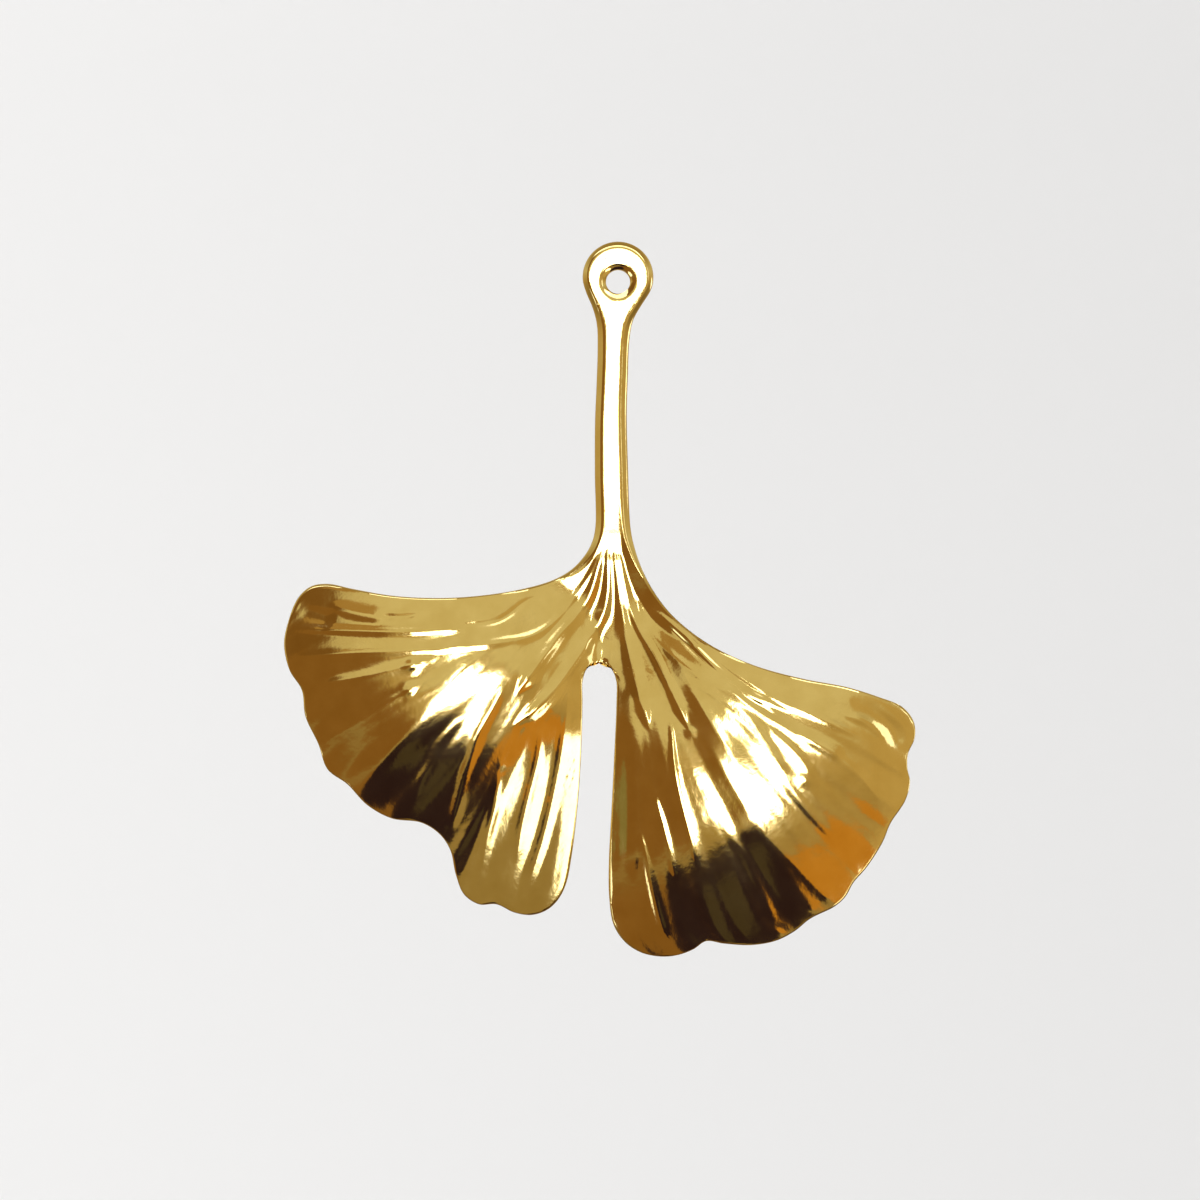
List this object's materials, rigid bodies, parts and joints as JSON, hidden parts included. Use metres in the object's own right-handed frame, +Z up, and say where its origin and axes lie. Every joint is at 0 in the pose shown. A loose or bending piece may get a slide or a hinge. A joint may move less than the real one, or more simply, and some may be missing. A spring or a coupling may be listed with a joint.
{
  "type": "ginkgo leaf charm",
  "caption": "Flat metal charm shaped as a ginkgo leaf: drilled eyelet, slender stem, and a domed, pleated two-lobed blade with a scalloped rim and a central notch.",
  "frame": {"origin": "middle of the eyelet's hole, half way through the metal", "axes": "+Z up along the stem as the charm hangs, -Y out of the domed front, +X to the right as seen from the front"},
  "size_m": [0.0316, 0.0033, 0.0357],
  "materials": {
    "gold_plate": "polished gold plate over stamped brass"
  },
  "bodies": {
    "root": {"ginkgo_leaf_charm": "gold_plate"}
  },
  "joints": []
}
